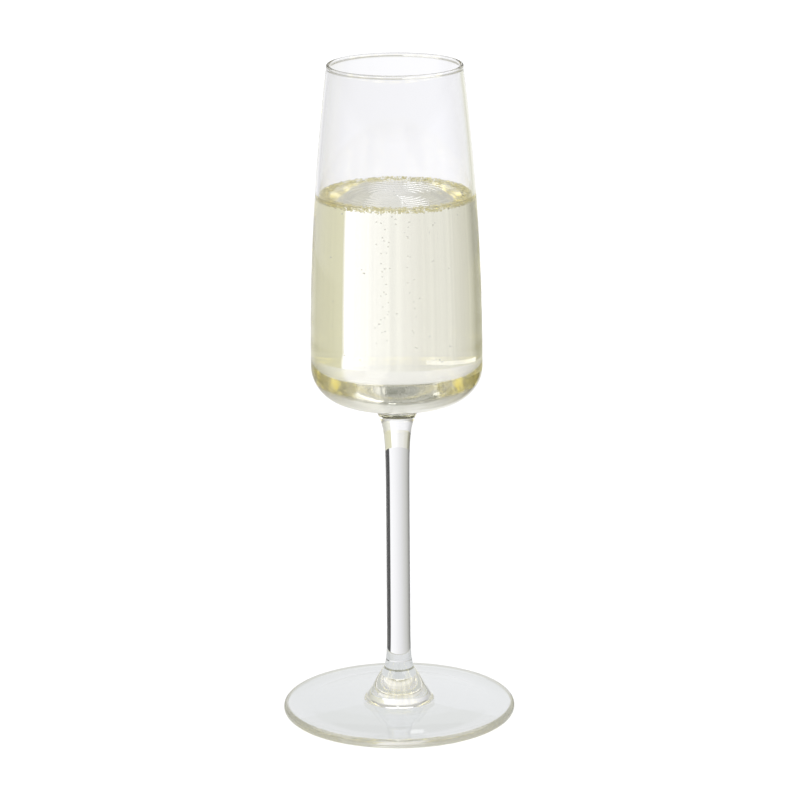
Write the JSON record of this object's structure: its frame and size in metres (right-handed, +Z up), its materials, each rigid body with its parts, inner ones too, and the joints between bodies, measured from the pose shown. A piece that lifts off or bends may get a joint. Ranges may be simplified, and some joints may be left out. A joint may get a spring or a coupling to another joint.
{
  "type": "champagne flute",
  "caption": "Stemmed flute glass with a tall narrow bowl, slim stem and disc foot, poured with pale sparkling wine and a collar of foam.",
  "frame": {"origin": "middle of the flat ring that the foot stands on", "axes": "+Z up the axis of the glass, from the foot to the rim; every piece is turned about it, so X and Y are any two directions square to it"},
  "size_m": [0.0776, 0.0776, 0.22],
  "materials": {
    "clear_glass": "polished",
    "sparkling_wine": "polished",
    "foam": "gloss"
  },
  "bodies": {
    "root": {"bowl": "clear_glass", "stem": "clear_glass", "foot": "clear_glass", "wine": "sparkling_wine", "foam_ring": "foam"}
  },
  "joints": []
}
